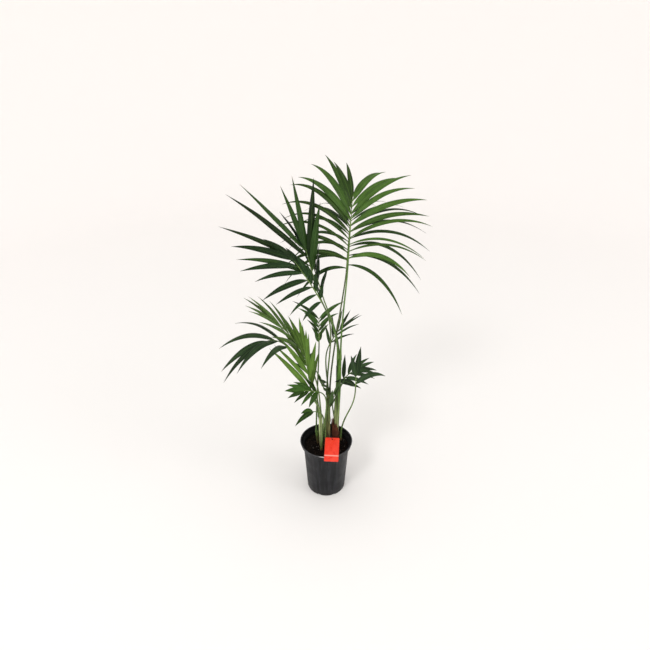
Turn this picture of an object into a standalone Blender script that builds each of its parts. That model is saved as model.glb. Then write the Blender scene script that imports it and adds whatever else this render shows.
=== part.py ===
"""Potted kentia palm: a clump of seedlings with arching feather fronds in a nursery pot.

Lengths are metres and angles degrees. X runs to the right and Y to the back of the plant as it is
usually looked at, and Z up. The origin is the centre of the pot's flat underside.
"""

import math
import random
from typing import NamedTuple

import bmesh
import bpy
from mathutils import Matrix, Vector
from mathutils.bvhtree import BVHTree

UP = Vector((0, 0, 1))
GAP = 0.0003
CLEARANCE = 0.0006

POT_HEIGHT = 0.230
POT_RIM_RADIUS = 0.105
POT_BODY_RADIUS = 0.0915
POT_BASE_RADIUS = 0.0775
POT_WALL = 0.0024
POT_BASE_ROUND = 0.003
POT_COLLAR_HEIGHT = 0.021
POT_COLLAR_STEP = 0.006
POT_COLLAR_LEAN = 0.0045
POT_LIP = 0.0012
POT_SIDES = 48
DRAIN_SLOTS = 8
DRAIN_SLOT_SIZE = (0.016, 0.014, 0.009)
SOIL_TOP = 0.203
SOIL_SIDE_GAP = 0.00036

TAG_WIDTH = 0.056
TAG_LENGTH = 0.097
TAG_THICKNESS = 0.0012
TAG_CORNER = 0.004
TAG_CORNER_STEPS = 4
TAG_HOLE_RADIUS = 0.0024
TAG_HOLE_SIDES = 12
TAG_HOLE_INSET = 0.0065
TAG_TOP = (0.0245, -0.035, 0.2685)
TAG_SLOPE = 27.5
TAG_TURN = -4.0
LOOP_RADIUS = 0.0007
LOOP_STAND_OFF = 0.0075
LOOP_SLACK = 0.002
LOOP_TURNS = (215, -45, -26)

STEM_SIDES = 10
STEM_STEPS = 6
STEM_HANDLE = 0.4
STEM_FLARE = 1.12
STALK_SIDES = 7
STALK_STEPS = 8
MIDRIB_SIDES = 6
MIDRIB_STEPS = 6
MIDRIB_TAPER = 0.55

BLADE_SHAPE = ((0.15, 0.80), (0.40, 1.0), (0.71, 0.66))
BLADE_STEPS = 24
BLADE_FOLD = 0.28
BLADE_THICKNESS = 0.0105
BLADE_THINNEST = 0.0016
BLADE_ROOT = 1.8
PAIR_START = 0.35
PAIR_STAGGER = 0.18
ANGLE_SCATTER = 4
LENGTH_SCATTER = (0.93, 1.05)
WIDTH_SCATTER = (0.90, 1.08)
DROOP_SCATTER = (0.85, 1.15)
TANGENT_STEP = 0.01
CLEARING_TURNS = (0, 7, -7, 14, -14, 22, -22)
CLEARING_CUTS = (1.0, 0.8, 0.62)


class Stem(NamedTuple):
    """A bundle of leaf bases: where it stands on the soil, its top, and its radius at foot and top."""

    name: str
    foot: tuple
    top: tuple
    radii: tuple


class Frond(NamedTuple):
    """A feather frond on its stalk.

    foot, neck and tip are the places where the stalk starts, where the leaflets start and where the
    midrib ends. arch is how far the midrib bows up and roll how far the frond turns about it. Values
    in threes belong to the neck, the middle and the tip: the leaflets' length, their angle from the
    midrib and how much they droop. lift raises the leaflets out of the frond's plane, skew swings
    them all to one side, and left and right scale the two sides. rise and settle say for how much of
    its length the stalk keeps going straight up from its foot and straight into the midrib.
    """

    name: str
    foot: tuple
    neck: tuple
    tip: tuple
    arch: float
    roll: float
    pairs: int
    reach: tuple
    spread: tuple
    droop: tuple
    width: float
    lift: float = 12.0
    skew: float = 0.0
    left: float = 1.0
    right: float = 1.0
    stalk: tuple = (0.0033, 0.0023)
    rise: float = 0.45
    settle: float = 0.30


class Leaflet(NamedTuple):
    """One blade of a frond: its root, heading, the line its face lies along, its side and its sizes."""

    root: Vector
    heading: Vector
    flat: Vector
    side: int
    length: float
    width: float
    droop: float
    root_width: float


STEMS = (
    Stem("stem_right", (0.038, 0.020), (0.048, 0.020, 0.600), (0.0125, 0.0092)),
    Stem("stem_middle", (0.007, 0.000), (0.008, 0.008, 0.450), (0.0098, 0.0080)),
    Stem("stem_pale", (-0.019, 0.000), (-0.023, -0.002, 0.350), (0.0085, 0.0078)),
    Stem("stem_left", (-0.034, 0.013), (-0.037, 0.010, 0.262), (0.0062, 0.0060)),
)

FRONDS = (
    Frond("top", (0.053, 0.017, 0.600), (0.074, 0.020, 0.984), (0.090, 0.140, 1.176), 0.015, 0, 11,
          (0.240, 0.290, 0.150), (64, 44, 15), (1.5, 0.85, 0.8), 0.0185, skew=6, left=1.05),
    Frond("top_back", (0.0135, 0.0095, 0.450), (0.071, 0.075, 0.933), (0.094, 0.270, 1.080), 0.050, 0, 9,
          (0.230, 0.330, 0.200), (84, 54, 15), (2.4, 1.3, 0.8), 0.014,
          skew=6, right=1.08, rise=0.3, settle=0.15),
    Frond("upper_left", (0.0433, 0.0165, 0.600), (-0.046, 0.000, 0.938), (-0.070, 0.040, 1.020),
          0.008, 0, 4, (0.260, 0.340, 0.295), (41, 28.5, 12), (0.5, 0.3, 0.2), 0.022, skew=-17, right=0.84),
    Frond("left", (0.0025, 0.0065, 0.450), (-0.014, -0.020, 0.848), (-0.110, -0.030, 1.012),
          0.010, -85, 7, (0.095, 0.165, 0.215), (58, 36, 10), (1.1, 0.65, 0.4), 0.021, skew=-20, right=0.55),
    Frond("mid_left", (-0.0225, 0.0035, 0.350), (-0.089, -0.010, 0.650), (-0.178, -0.055, 0.797),
          0.020, -40, 4, (0.200, 0.190, 0.140), (17, 11, 4), (0.5, 0.4, 0.3), 0.017),
    Frond("mid_front", (-0.023, -0.008, 0.350), (-0.057, -0.045, 0.489), (-0.080, -0.030, 0.672),
          0.005, -57, 6, (0.230, 0.190, 0.150), (22, 16, 6), (0.3, 0.3, 0.2), 0.019, skew=-6, right=0.8),
    Frond("low_left", (-0.0290, -0.0010, 0.350), (-0.131, -0.030, 0.671), (-0.203, -0.100, 0.743),
          0.030, -25, 3, (0.200, 0.245, 0.215), (25, 18, 7), (1.0, 1.15, 1.0), 0.022, skew=3, right=0.9),
    Frond("centre", (-0.040, 0.0095, 0.262), (-0.027, 0.030, 0.661), (-0.027, 0.065, 0.745), 0.005, 0, 6,
          (0.035, 0.075, 0.120), (22, 35, 45), (0.1, 0.5, 0.6), 0.012, rise=0.2, settle=0.08),
    Frond("behind", (0.0065, 0.0135, 0.450), (0.010, 0.090, 0.614), (0.054, 0.130, 0.670), 0.010, 0, 4,
          (0.090, 0.120, 0.100), (40, 28, 10), (0.5, 0.5, 0.3), 0.012),
    Frond("right_low", (0.058, 0.030, 0.203), (0.110, -0.020, 0.490), (0.112, 0.000, 0.535), 0.003, 0, 2,
          (0.120, 0.135, 0.115), (64, 34, 5), (1.4, 0.9, 0.4), 0.022, left=0.7),
    Frond("right_mid", (0.042, 0.046, 0.203), (0.046, 0.055, 0.457), (0.125, 0.090, 0.510), 0.020, 45, 5,
          (0.075, 0.100, 0.080), (48, 34, 10), (0.7, 0.7, 0.5), 0.016),
    Frond("low_front", (-0.019, -0.0300, 0.203), (-0.027, -0.050, 0.497), (-0.082, -0.080, 0.523),
          0.004, -45, 4, (0.075, 0.085, 0.075), (46, 30, 10), (0.6, 0.5, 0.4), 0.022, settle=0.25),
    Frond("small_front", (0.0095, 0.0025, 0.450), (-0.009, -0.020, 0.490), (-0.023, -0.045, 0.556),
          0.005, -30, 4, (0.050, 0.065, 0.050), (60, 42, 12), (0.5, 0.5, 0.4), 0.015),
    Frond("lowest", (-0.019, -0.0165, 0.203), (-0.030, -0.034, 0.392), (-0.051, -0.049, 0.407),
          0.002, -40, 1, (0.110, 0.110, 0.110), (14, 14, 14), (0.9, 0.9, 0.9), 0.020, right=0.45),
    Frond("young", (-0.002, -0.026, 0.203), (0.006, -0.020, 0.388), (0.032, -0.025, 0.465),
          0.002, -30, 2, (0.095, 0.095, 0.095), (22, 14, 5), (0.2, 0.2, 0.2), 0.018),
    Frond("back", (-0.024, 0.046, 0.203), (-0.066, 0.062, 0.496), (-0.100, 0.160, 0.578), 0.012, 20, 5,
          (0.075, 0.095, 0.080), (42, 30, 10), (0.7, 0.7, 0.5), 0.016),
    Frond("inner_left", (0.0475, 0.0255, 0.600), (-0.014, 0.045, 0.848), (-0.068, 0.065, 1.025),
          0.004, 0, 6, (0.100, 0.160, 0.160), (34, 24, 8), (0.4, 0.3, 0.2), 0.020, right=0.75),
)


def clear_scene():
    for thing in list(bpy.data.objects):
        bpy.data.objects.remove(thing, do_unlink=True)


def finish_of(name, colour, roughness):
    finish = bpy.data.materials.new(name)
    finish.use_nodes = True
    shader = finish.node_tree.nodes["Principled BSDF"]
    shader.inputs["Base Color"].default_value = (*colour, 1.0)
    shader.inputs["Roughness"].default_value = roughness
    return finish


def add_object(name, shape, finish):
    bmesh.ops.recalc_face_normals(shape, faces=shape.faces)
    mesh = bpy.data.meshes.new(name)
    shape.to_mesh(mesh)
    shape.free()
    mesh.materials.append(finish)
    thing = bpy.data.objects.new(name, mesh)
    bpy.context.scene.collection.objects.link(thing)
    return thing


def cut_with(thing, cutter):
    """Cuts a guide object, which isn't part of the model, out of a piece."""
    cutter.hide_render = True
    cutter.display_type = "WIRE"
    cut = thing.modifiers.new(cutter.name, "BOOLEAN")
    cut.operation = "DIFFERENCE"
    cut.object = cutter


def bezier(points, share):
    """A point on the curve of these control points, by repeated interpolation."""
    while len(points) > 1:
        points = [start.lerp(end, share) for start, end in zip(points, points[1:])]
    return points[0]


def sampled(points, steps):
    return [bezier(points, step / steps) for step in range(steps + 1)]


def along(values, share):
    """The smooth value at a share of the way, from those at the start, the middle and the end."""
    start, middle, end = values
    return (start * (1 - share) * (1 - 2 * share) + 4 * middle * share * (1 - share)
            + end * share * (2 * share - 1))


def loft(shape, sections, tip=None):
    """Extrudes the first section through the others, and draws the last one to a tip if there is one."""
    foot = shape.faces.new([shape.verts.new(point) for point in sections[0]])
    face = foot
    for section in sections[1:]:
        grown = bmesh.ops.extrude_face_region(shape, geom=[face])
        if face != foot:
            bmesh.ops.delete(shape, geom=[face], context="FACES_ONLY")
        face = next(part for part in grown["geom"] if isinstance(part, bmesh.types.BMFace))
        for corner, point in zip(face.verts, section):
            corner.co = point
    if tip is not None:
        poked = bmesh.ops.poke(shape, faces=[face])
        poked["verts"][0].co = tip


def ring_round(centre, heading, radius, sides):
    """Corners of a regular ring square to a heading, the first one towards +X."""
    across = (Vector((1, 0, 0)) - heading * heading.x).normalized()
    other = heading.cross(across)
    turns = [math.tau * side / sides for side in range(sides)]
    return [centre + radius * (math.cos(turn) * across + math.sin(turn) * other) for turn in turns]


def tube_sections(path, radii, sides, first_heading=None):
    """Rings along a path, whose radius runs evenly from the first value to the second."""
    sections = []
    for index, centre in enumerate(path):
        heading = (path[min(index + 1, len(path) - 1)] - path[max(index - 1, 0)]).normalized()
        if index == 0 and first_heading is not None:
            heading = first_heading
        radius = radii[0] + (radii[1] - radii[0]) * index / (len(path) - 1)
        sections.append(ring_round(centre, heading, radius, sides))
    return sections


def add_circles(shape, profile):
    """Level circles of these radii and heights, each bridged to the next."""
    circles = []
    for radius, height in profile:
        place = Matrix.Translation((0, 0, height))
        circle = bmesh.ops.create_circle(shape, segments=POT_SIDES, radius=radius, matrix=place)
        circles.append(circle["verts"])
        shape.edges.index_update()
    for lower, upper in zip(circles, circles[1:]):
        bmesh.ops.bridge_loops(shape, edges=circle_edges(lower) + circle_edges(upper))
    return circles


def circle_edges(circle):
    corners = set(circle)
    edges = {edge for corner in circle for edge in corner.link_edges if set(edge.verts) <= corners}
    return sorted(edges, key=lambda edge: edge.index)


def inner_radius(height):
    """Radius of the pot's inside wall at a height below the collar."""
    share = height / (POT_HEIGHT - POT_COLLAR_HEIGHT)
    return POT_BASE_RADIUS + (POT_BODY_RADIUS - POT_BASE_RADIUS) * share - POT_WALL


def make_pot():
    """Thin-walled pot with a flared collar and a rolled lip, closed below by a flat base."""
    collar_foot = POT_HEIGHT - POT_COLLAR_HEIGHT
    profile = [
        (POT_BASE_RADIUS - POT_BASE_ROUND, 0.0),
        (POT_BASE_RADIUS, POT_BASE_ROUND),
        (POT_BODY_RADIUS, collar_foot),
        (POT_RIM_RADIUS - POT_COLLAR_LEAN, collar_foot + POT_COLLAR_STEP),
        (POT_RIM_RADIUS - POT_LIP, POT_HEIGHT - POT_LIP),
        (POT_RIM_RADIUS, POT_HEIGHT - POT_LIP / 2),
        (POT_RIM_RADIUS - POT_LIP, POT_HEIGHT),
        (POT_RIM_RADIUS - POT_WALL - POT_LIP, POT_HEIGHT),
        (POT_RIM_RADIUS - POT_WALL - POT_COLLAR_LEAN, collar_foot + POT_COLLAR_STEP + POT_WALL),
        (inner_radius(collar_foot + POT_WALL), collar_foot + POT_WALL),
        (inner_radius(POT_WALL), POT_WALL),
    ]
    shape = bmesh.new()
    circles = add_circles(shape, profile)
    shape.faces.new(circles[0])
    shape.faces.new(circles[-1])
    pot = add_object("pot", shape, finish_of("charcoal_plastic", (0.035, 0.036, 0.038), 0.42))
    cut_with(pot, make_drain_slots(pot.data.materials[0]))
    return pot


def make_drain_slots(finish):
    """Guide blocks for the slots that drain the pot through the edge of its base."""
    slots = bmesh.new()
    for slot in range(DRAIN_SLOTS):
        turn = Matrix.Rotation(math.tau * (slot + 0.5) / DRAIN_SLOTS, 4, "Z")
        place = Matrix.Translation((POT_BASE_RADIUS, 0, 0))
        size = Matrix.Diagonal((*DRAIN_SLOT_SIZE, 1.0))
        bmesh.ops.create_cube(slots, size=1.0, matrix=turn @ place @ size)
    return add_object("drain_slots", slots, finish)


def make_soil():
    """Potting soil that fills the pot to a little below its collar."""
    shape = bmesh.new()
    profile = [(inner_radius(height) - SOIL_SIDE_GAP, height) for height in (POT_WALL + GAP, SOIL_TOP)]
    for circle in add_circles(shape, profile):
        shape.faces.new(circle)
    return add_object("soil", shape, finish_of("potting_soil", (0.020, 0.015, 0.012), 0.95))


def tag_frame():
    """The tag's own axes: across it, up its slope and off its face, from the middle of its top edge."""
    turn = Matrix.Rotation(math.radians(TAG_TURN), 4, "Z")
    slope = Matrix.Rotation(math.radians(TAG_SLOPE), 4, "X")
    return Matrix.Translation(TAG_TOP) @ turn @ slope


def make_tag():
    """Bare plastic hang tag with rounded corners and a punched hole, lying over the front of the rim."""
    side, top, bottom = TAG_WIDTH / 2 - TAG_CORNER, -TAG_CORNER, TAG_CORNER - TAG_LENGTH
    outline = []
    for quarter, (x, y) in enumerate(((side, top), (-side, top), (-side, bottom), (side, bottom))):
        for step in range(TAG_CORNER_STEPS + 1):
            turn = math.radians(90 * (quarter + step / TAG_CORNER_STEPS))
            outline.append((x + TAG_CORNER * math.cos(turn), y + TAG_CORNER * math.sin(turn)))
    place = tag_frame()
    sections = [[place @ Vector((x, y, height)) for x, y in outline]
                for height in (-TAG_THICKNESS / 2, TAG_THICKNESS / 2)]
    shape = bmesh.new()
    loft(shape, sections)
    tag = add_object("tag", shape, finish_of("orange_card", (0.93, 0.065, 0.030), 0.35))
    punch = bmesh.new()
    bmesh.ops.create_cone(punch, cap_ends=True, segments=TAG_HOLE_SIDES, radius1=TAG_HOLE_RADIUS,
                          radius2=TAG_HOLE_RADIUS, depth=4 * TAG_THICKNESS,
                          matrix=place @ Matrix.Translation((0, -TAG_HOLE_INSET, 0)))
    cut_with(tag, add_object("tag_punch", punch, tag.data.materials[0]))
    return tag


def make_tag_loop():
    """Thin elastic loop through the tag's hole and round the middle stem."""
    place = tag_frame()
    hole = place @ Vector((0, -TAG_HOLE_INSET, 0))
    off_face = place.to_3x3() @ Vector((0, 0, LOOP_STAND_OFF))
    stem = STEMS[1]
    round_stem = stem.radii[0] + LOOP_SLACK
    first_turn, last_turn, turn_step = LOOP_TURNS
    route = [hole - off_face, hole, hole + off_face]
    for turn in range(first_turn, last_turn, turn_step):
        angle = math.radians(turn)
        ramp = off_face.z * (2 * (turn - last_turn) / (first_turn - last_turn) - 1)
        route.append(Vector((stem.foot[0] + round_stem * math.cos(angle),
                             stem.foot[1] + round_stem * math.sin(angle), hole.z + ramp)))
    curve = bpy.data.curves.new("tag_loop", "CURVE")
    curve.dimensions = "3D"
    curve.bevel_depth = LOOP_RADIUS
    curve.bevel_resolution = 1
    curve.resolution_u = 2
    curve.render_resolution_u = 2
    spline = curve.splines.new("NURBS")
    spline.points.add(len(route) - 1)
    for point, place_on_route in zip(spline.points, route):
        point.co = (*place_on_route, 1.0)
    spline.use_cyclic_u = True
    spline.order_u = 3
    curve.materials.append(finish_of("dark_elastic", (0.03, 0.03, 0.03), 0.7))
    loop = bpy.data.objects.new("tag_loop", curve)
    bpy.context.scene.collection.objects.link(loop)
    return loop


def stem_points(stem):
    """Control points of a stem, which leaves the soil and reaches its top going straight up."""
    foot, top = Vector((*stem.foot, SOIL_TOP + GAP)), Vector(stem.top)
    handle = UP * (top.z - foot.z) * STEM_HANDLE
    return [foot, foot + handle, top - handle, top]


def make_stem(stem, finish):
    """One tapering limb from a flat cut on the soil, with a slight flare there, to its fork."""
    path = sampled(stem_points(stem), STEM_STEPS)
    sections = tube_sections(path, stem.radii, STEM_SIDES, first_heading=UP)
    sections[0] = ring_round(path[0], UP, stem.radii[0] * STEM_FLARE, STEM_SIDES)
    sections[-1] = ring_round(path[-1], UP, stem.radii[1], STEM_SIDES)
    shape = bmesh.new()
    loft(shape, sections)
    return add_object(stem.name, shape, finish)


def midrib_points(frond):
    """Control points of a frond's midrib, which bows up between its neck and its tip."""
    neck, tip = Vector(frond.neck), Vector(frond.tip)
    return [neck, (neck + tip) / 2 + UP * frond.arch, tip]


def midrib_radius(frond, share):
    return frond.stalk[1] * (1 - MIDRIB_TAPER * share)


def stalk_points(frond):
    """Control points of a stalk: straight up from its foot, then on into the midrib's direction."""
    neck, bow, _ = midrib_points(frond)
    into = (bow - neck).normalized()
    foot, top = Vector(frond.foot) + UP * GAP, neck - into * 2 * GAP
    length = (top - foot).length
    return [foot, foot + UP * length * frond.rise, top - into * length * frond.settle, top]


def make_stalk(frond, finish):
    """One tapering limb that carries a frond, from its stem's top or the soil to the frond's neck."""
    path = sampled(stalk_points(frond), STALK_STEPS)
    shape = bmesh.new()
    loft(shape, tube_sections(path, frond.stalk, STALK_SIDES, first_heading=UP))
    return add_object("stalk_" + frond.name, shape, finish)


def make_midrib(frond, finish):
    path = sampled(midrib_points(frond), MIDRIB_STEPS)
    radii = (midrib_radius(frond, 0), midrib_radius(frond, 1))
    shape = bmesh.new()
    loft(shape, tube_sections(path, radii, MIDRIB_SIDES))
    return add_object("frond_" + frond.name, shape, finish)


def frond_axes(frond, place):
    """The midrib's point and heading at a place along it, and the frond's side and upper directions."""
    points = midrib_points(frond)
    outward = Vector((frond.tip[0] - frond.neck[0], frond.tip[1] - frond.neck[1], 0)).normalized()
    before, after = (bezier(points, place + step) for step in (-TANGENT_STEP, TANGENT_STEP))
    ahead = (after - before).normalized()
    upper = outward.cross(UP).cross(ahead).normalized()
    roll = Matrix.Rotation(math.radians(frond.roll), 3, ahead)
    return bezier(points, place), ahead, roll @ ahead.cross(upper), roll @ upper


def leaflets(frond):
    """Every leaflet of a frond, in pairs from its neck to its tip, with a little seeded scatter."""
    chance = random.Random(frond.name)
    grown = []
    for pair in range(frond.pairs):
        share = (pair + PAIR_START) / (frond.pairs - 1 + PAIR_START)
        for side, size in ((-1, frond.left), (1, frond.right)):
            place = min(share + side * PAIR_STAGGER / frond.pairs, 1.0)
            root, ahead, sideways, upper = frond_axes(frond, place)
            scatter = chance.uniform(-ANGLE_SCATTER, ANGLE_SCATTER)
            spread = math.radians(along(frond.spread, place) + side * frond.skew + scatter)
            lift = math.radians(frond.lift + chance.uniform(-ANGLE_SCATTER, ANGLE_SCATTER))
            out = side * sideways * math.cos(lift) + upper * math.sin(lift)
            heading = ahead * math.cos(spread) + out * math.sin(spread)
            grown.append(Leaflet(
                root=root,
                heading=heading,
                flat=(ahead - heading * ahead.dot(heading)).normalized(),
                side=side,
                length=along(frond.reach, place) * size * chance.uniform(*LENGTH_SCATTER),
                width=frond.width * chance.uniform(*WIDTH_SCATTER),
                droop=along(frond.droop, place) * chance.uniform(*DROOP_SCATTER),
                root_width=BLADE_ROOT * midrib_radius(frond, place),
            ))
    return grown


def turned(leaflet, aside, cut):
    """The same leaflet swung up or down out of the frond's plane, and cut shorter."""
    swing = Matrix.Rotation(math.radians(aside), 3, leaflet.flat)
    return leaflet._replace(heading=swing @ leaflet.heading, length=leaflet.length * cut)


def blade_path(leaflet):
    """Points and headings along a leaflet, which its own weight bends down more and more."""
    point = leaflet.root.copy()
    path = [(point.copy(), leaflet.heading)]
    for step in range(BLADE_STEPS):
        share = (step + 0.5) / BLADE_STEPS
        heading = (leaflet.heading - UP * leaflet.droop * share).normalized()
        point += heading * leaflet.length / BLADE_STEPS
        path.append((point.copy(), heading))
    return path


def blade_sections(leaflet):
    """Four-cornered sections of a blade that is folded down both sides of its ridge, and its tip."""
    path = blade_path(leaflet)
    thick = max(BLADE_THICKNESS * leaflet.length, BLADE_THINNEST) / 2
    stations = [(0.0, leaflet.root_width / 2, leaflet.root_width / 4)]
    stations += [(place, leaflet.width * share / 2, thick) for place, share in BLADE_SHAPE]
    flat = leaflet.flat
    sections = []
    for place, half_width, half_thickness in stations:
        point, heading = path[round(place * BLADE_STEPS)]
        flat = (flat - heading * flat.dot(heading)).normalized()
        upper = leaflet.side * heading.cross(flat)
        edge = flat * half_width
        fold = upper * half_width * BLADE_FOLD
        ridge = upper * half_thickness
        sections.append([point + ridge, point + edge - fold, point - ridge, point - edge - fold])
    return sections, path[-1][0]


def blade_shape(leaflet):
    shape = bmesh.new()
    loft(shape, *blade_sections(leaflet))
    bmesh.ops.recalc_face_normals(shape, faces=shape.faces)
    return shape


def surface_of(thing):
    """The surface of a finished piece, to test new leaflets against."""
    finished = thing.evaluated_get(bpy.context.evaluated_depsgraph_get())
    shape = bmesh.new()
    shape.from_mesh(finished.to_mesh())
    finished.to_mesh_clear()
    surface = BVHTree.FromBMesh(shape, epsilon=CLEARANCE)
    shape.free()
    return surface


def clear_blade(leaflet, others):
    """The first turn and length of a leaflet that touches no other piece, or none if all of them do."""
    for cut in CLEARING_CUTS:
        for aside in CLEARING_TURNS:
            shape = blade_shape(turned(leaflet, aside, cut))
            surface = BVHTree.FromBMesh(shape, epsilon=CLEARANCE)
            if not any(surface.overlap(other) for other in others):
                return shape
            shape.free()
    return None


def fuse(target, pieces):
    """Unites a mesh object with loose pieces and removes them."""
    group = bpy.data.collections.new("pieces of " + target.name)
    bpy.context.scene.collection.children.link(group)
    for piece in pieces:
        bpy.context.scene.collection.objects.unlink(piece)
        group.objects.link(piece)
    union = target.modifiers.new("leaflets", "BOOLEAN")
    union.operation = "UNION"
    union.operand_type = "COLLECTION"
    union.collection = group
    finished = target.evaluated_get(bpy.context.evaluated_depsgraph_get())
    united = bpy.data.meshes.new_from_object(finished)
    target.modifiers.clear()
    target.data = united
    for piece in pieces:
        bpy.data.objects.remove(piece, do_unlink=True)
    bpy.data.collections.remove(group)


def keep_largest(thing):
    """Fills hollows that the fusing sealed and drops loose scraps: only the largest surface stays."""
    shape = bmesh.new()
    shape.from_mesh(thing.data)
    unseen = set(shape.faces)
    surfaces = []
    while unseen:
        front = [unseen.pop()]
        surface = []
        while front:
            face = front.pop()
            surface.append(face)
            near = {other for edge in face.edges for other in edge.link_faces} & unseen
            unseen -= near
            front.extend(near)
        surfaces.append(surface)
    largest = max(surfaces, key=len)
    scraps = [face for surface in surfaces if surface is not largest for face in surface]
    bmesh.ops.delete(shape, geom=scraps, context="FACES")
    shape.to_mesh(thing.data)
    shape.free()


def grow_leaflets(frond, midrib, others, finish):
    """Fuses onto the midrib a blade for every leaflet that finds room among the other pieces."""
    blades = []
    for number, leaflet in enumerate(leaflets(frond)):
        shape = clear_blade(leaflet, others)
        if shape is not None:
            blades.append(add_object(f"blade_{number}", shape, finish))
    fuse(midrib, blades)
    keep_largest(midrib)


def main():
    clear_scene()
    stem_finish = finish_of("leaf_base_green", (0.17, 0.20, 0.07), 0.55)
    stalk_finish = finish_of("stalk_green", (0.07, 0.15, 0.03), 0.45)
    leaf_finish = finish_of("leaf_green", (0.04, 0.13, 0.02), 0.4)
    pieces = [make_pot(), make_soil(), make_tag(), make_tag_loop()]
    pieces += [make_stem(stem, stem_finish) for stem in STEMS]
    pieces += [make_stalk(frond, stalk_finish) for frond in FRONDS]
    midribs = [make_midrib(frond, leaf_finish) for frond in FRONDS]
    surfaces = {piece.name: surface_of(piece) for piece in pieces + midribs}
    for frond, midrib in zip(FRONDS, midribs):
        others = [surface for name, surface in surfaces.items() if name != midrib.name]
        grow_leaflets(frond, midrib, others, leaf_finish)
        surfaces[midrib.name] = surface_of(midrib)


main()
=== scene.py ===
# %% [markdown]
# # A kentia palm in its pot
#
# The solids of the palm are already made. They hold every size and place, but
# they look like folded card. This lesson dresses them: each solid stays where it is, and a finer
# piece with the finish of the real thing is put in its place. We start by loading the solids.

# %% Load the solids
import random
from collections import namedtuple
from math import cos, dist, exp, radians, sin, sqrt, tau

import bmesh
import bpy
from mathutils import Matrix, Vector, noise
from mathutils.bvhtree import BVHTree


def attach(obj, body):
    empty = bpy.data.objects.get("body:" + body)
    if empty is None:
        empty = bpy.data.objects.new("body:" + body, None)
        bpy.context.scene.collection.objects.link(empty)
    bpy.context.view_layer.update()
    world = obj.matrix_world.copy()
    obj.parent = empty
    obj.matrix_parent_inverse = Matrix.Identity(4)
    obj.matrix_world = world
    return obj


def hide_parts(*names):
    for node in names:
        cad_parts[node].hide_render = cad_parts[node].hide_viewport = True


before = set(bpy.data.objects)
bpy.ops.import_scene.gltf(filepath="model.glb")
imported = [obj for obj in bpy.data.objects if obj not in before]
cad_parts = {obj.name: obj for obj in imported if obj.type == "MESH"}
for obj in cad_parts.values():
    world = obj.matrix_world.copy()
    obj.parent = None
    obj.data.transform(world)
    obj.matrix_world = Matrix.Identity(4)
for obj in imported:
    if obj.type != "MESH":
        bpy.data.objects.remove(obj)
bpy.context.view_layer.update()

UP = Vector((0, 0, 1))
noise.seed_set(1)

# %% [markdown]
# ## Camera, floor and light
#
# The palm is photographed from a little above, from close by, so its pot looks small and its crown
# large. A 28.8 mm lens at 1.65 m gives the same view. The studio is a pale round floor that curves up
# into a wall, so that no horizon shows from any side. We draw half of its outline and spin it, as a
# potter would. A bright sky keeps the shadows soft, a wide lamp from the front left gives the leaves
# their form, and a weaker one on the right opens the dark side.

# %% Camera
LENS, SENSOR_WIDTH = 28.8, 36.0
CAMERA_PLACE, CAMERA_PITCH = (-0.005, -1.648, 1.614), 62.4

camera = bpy.data.objects.new("camera", bpy.data.cameras.new("camera"))
bpy.context.scene.collection.objects.link(camera)
bpy.context.scene.camera = camera
camera.data.lens = LENS
camera.data.sensor_width = SENSOR_WIDTH
camera.location = CAMERA_PLACE
camera.rotation_euler = (radians(CAMERA_PITCH), 0.0, 0.0)
print("the camera looks down by", round(90 - CAMERA_PITCH, 1), "degrees")

# %% Helpers that turn a finished mesh into a piece
def add_piece(name, shape, finish):
    """Makes an object at the origin from a finished bmesh, shaded smooth."""
    mesh = bpy.data.meshes.new(name)
    for face in shape.faces:
        face.smooth = True
    shape.to_mesh(mesh)
    shape.free()
    mesh.materials.append(finish)
    piece = bpy.data.objects.new(name, mesh)
    bpy.context.scene.collection.objects.link(piece)
    return piece


def dress(piece, slot, *nodes):
    """Hides the solids that a piece stands for, if any, and hangs it on the root. The slot is not
    used.
    """
    if nodes:
        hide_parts(*nodes)
    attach(piece, "root")


def spun(outline, steps):
    """Spins an outline of (radius, height) points round the Z axis into a closed surface."""
    shape = bmesh.new()
    points = [shape.verts.new((radius, 0, height)) for radius, height in outline]
    lines = [shape.edges.new(pair) for pair in zip(points, points[1:])]
    bmesh.ops.spin(shape, geom=points + lines, cent=(0, 0, 0), axis=(0, 0, 1),
                   angle=tau, steps=steps, use_merge=True)
    bmesh.ops.remove_doubles(shape, verts=shape.verts, dist=1e-6)
    bmesh.ops.recalc_face_normals(shape, faces=shape.faces)
    return shape


print("pieces are made at the origin, as the solids are")

# %% [markdown]
# Shader sums are easier to read as Python than as a web of wires. One small class stands for a
# socket and lets us write `1 - mask`, and another makes every node through one method.

# %% Shader sums in Python
class Value:
    """A shader socket that takes part in Python's sums."""

    def __init__(self, finish, socket):
        self.finish, self.socket = finish, socket

    def math(self, operation, first, second=0.0):
        return self.finish.node("ShaderNodeMath", {"operation": operation}, {0: first, 1: second})

    __add__ = __radd__ = lambda self, other: self.math("ADD", self, other)
    __mul__ = __rmul__ = lambda self, other: self.math("MULTIPLY", self, other)
    __sub__ = lambda self, other: self.math("SUBTRACT", self, other)
    __rsub__ = lambda self, other: self.math("SUBTRACT", other, self)
    __pow__ = lambda self, other: self.math("POWER", self, other)
    __abs__ = lambda self: self.math("ABSOLUTE", self)

    def zigzag(self, count):
        """Climbs from 0 to 1 or falls back to 0, count times in each unit of the value."""
        return self.math("PINGPONG", self * count, 1.0)


def shade(red, green, blue):
    """A colour as a screen shows it, from 0 to 255, in the linear values that shaders use."""
    parts = [part / 255 for part in (red, green, blue)]
    return (*[part / 12.92 if part < 0.04 else ((part + 0.055) / 1.055)**2.4 for part in parts], 1.0)


print("a mid grey on screen is", round(shade(128, 128, 128)[0], 3), "in linear light")

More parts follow.
